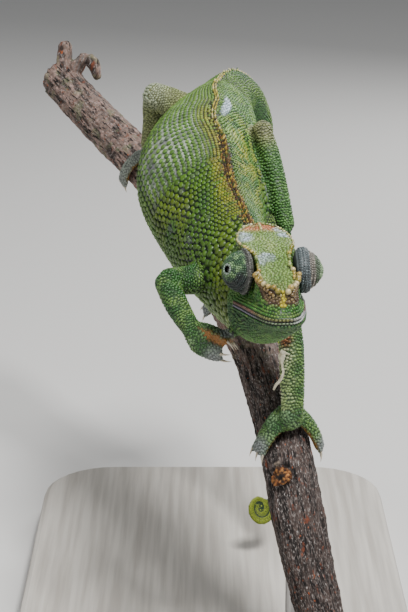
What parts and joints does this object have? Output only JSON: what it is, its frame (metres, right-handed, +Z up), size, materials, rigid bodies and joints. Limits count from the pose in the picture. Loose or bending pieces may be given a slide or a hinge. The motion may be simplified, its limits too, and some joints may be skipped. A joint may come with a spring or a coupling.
{
  "type": "chameleon figure",
  "caption": "Life-size chameleon climbing head first down a bent bark branch, one hand raised and its tail hanging in a coil, held over a flat base by two short rods.",
  "frame": {"origin": "centre of the underside of the stand's base", "axes": "+Z is up, square to the base; the animal comes towards -Y and the branch falls from +Y at the back to -Y at the front; +X is the animal's left"},
  "size_m": [0.0815, 0.1491, 0.1107],
  "materials": {
    "skin": "scaly yellow-green skin, satin",
    "eyelid_skin": "finely scaled grey-green skin, satin",
    "eye": "wet black eye, glossy",
    "bark": "rough brown-grey bark, matt",
    "stand_board": "plain pale board, matt",
    "stand_rod": "plain steel rod, satin"
  },
  "bodies": {
    "root": {"head": "skin", "lower_jaw": "skin", "eye_turret_left": "eyelid_skin", "eye_turret_right": "eyelid_skin", "eyeball_left": "eye", "eyeball_right": "eye", "neck": "skin", "torso": "skin", "tail_base": "skin", "tail_upper": "skin", "tail_middle": "skin", "tail_lower": "skin", "tail_coil_outer": "skin", "tail_coil_inner": "skin", "tail_tip": "skin", "upper_arm_left": "skin", "upper_arm_right": "skin", "forearm_left": "skin", "forearm_right": "skin", "sole_hand_left": "skin", "sole_hand_right": "skin", "toes_hand_left_inner": "skin", "toes_hand_left_outer": "skin", "toes_hand_right_inner": "skin", "toes_hand_right_outer": "skin", "thigh_left": "skin", "thigh_right": "skin", "shank_left": "skin", "shank_right": "skin", "sole_foot_left": "skin", "sole_foot_right": "skin", "toes_foot_left_inner": "skin", "toes_foot_left_outer": "skin", "toes_foot_right_inner": "skin", "toes_foot_right_outer": "skin", "branch": "bark", "stand_base": "stand_board", "stand_peg": "stand_rod", "stand_rod": "stand_rod"}
  },
  "joints": []
}
